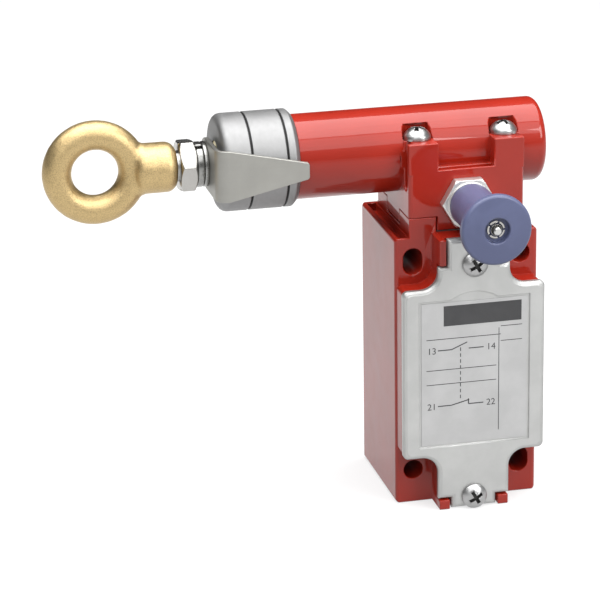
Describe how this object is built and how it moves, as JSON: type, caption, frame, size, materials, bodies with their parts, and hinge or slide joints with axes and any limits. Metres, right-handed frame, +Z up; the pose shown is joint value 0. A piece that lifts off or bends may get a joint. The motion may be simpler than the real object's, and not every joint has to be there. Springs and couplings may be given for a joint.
{
  "type": "rope pull switch",
  "caption": "Rope-pull safety switch: red cast body and barrel, plated cover, sprung draw rod with ring eye and tension pointer, blue pull-to-reset knob.",
  "frame": {"origin": "centre of the four fixing holes, on the rear mounting face", "axes": "+Z up the body towards the barrel, front faces -Y, the rope pulls towards -X, +X to the right seen from the front"},
  "size_m": [0.1361, 0.065, 0.111],
  "materials": {
    "red_paint": "gloss red paint on a zinc casting",
    "satin_cover": "satin pressed metal",
    "plate": "thin matt printed plate",
    "plated_screw": "bright zinc plating",
    "plated_nut": "bright nickel plating",
    "bare_steel": "turned or rolled steel",
    "spring_steel": "drawn wire",
    "pointer_strip": "dull rolled strip",
    "cap_alloy": "fine matt turned alloy",
    "sand_bronze": "sand cast texture",
    "turned_brass": "turned or stamped",
    "knob_blue": "satin blue moulding",
    "black_moulding": "moulded",
    "gasket_rubber": "cut sheet"
  },
  "bodies": {
    "switch": {"switch_body": "red_paint", "cover_gasket": "gasket_rubber", "front_cover": "satin_cover", "rating_plate": "plate", "cover_screws": "plated_screw", "seat_gasket": "gasket_rubber", "head_casting": "red_paint", "head_screws": "plated_screw", "guide_cap": "cap_alloy", "rod_bush": "turned_brass", "main_spring": "spring_steel", "contact_spring": "spring_steel", "reset_bush": "plated_nut", "reset_spring": "spring_steel", "contact_block": "black_moulding", "block_screws": "plated_screw", "fixed_contacts": "turned_brass", "terminal_clamps": "turned_brass", "terminal_screws": "plated_screw", "earth_screw": "plated_screw"},
    "pull": {"draw_rod": "bare_steel", "rope_eye": "sand_bronze", "lock_nut": "plated_nut", "spring_washer": "bare_steel", "flat_washer": "plated_nut", "tension_pointer": "pointer_strip", "spring_seat": "bare_steel", "cam_sleeve": "turned_brass", "retaining_ring": "plated_nut"},
    "striker": {"striker": "bare_steel", "contact_plunger": "black_moulding", "contact_bridge": "turned_brass"},
    "reset": {"reset_pin": "bare_steel", "reset_knob": "knob_blue", "push_nut": "plated_nut"}
  },
  "joints": [
    {"name": "rope_pull", "type": "slide", "parent": "switch", "child": "pull", "axis": [-1, 0, 0], "range_m": [0, 0.015], "stiffness_N_per_m": 4000, "springref_m": -0.01, "deforming": ["main_spring"]},
    {"name": "strike", "type": "slide", "parent": "switch", "child": "striker", "axis": [0, 0, -1], "range_m": [0, 0.0024], "deforming": ["contact_spring"]},
    {"name": "reset_pull", "type": "slide", "parent": "switch", "child": "reset", "axis": [0, -1, 0], "range_m": [0, 0.005], "stiffness_N_per_m": 800, "springref_m": -0.002, "deforming": ["reset_spring"]}
  ],
  "couplings": [
    {"joint": "strike", "follows": "rope_pull", "ratio": 0.16}
  ]
}
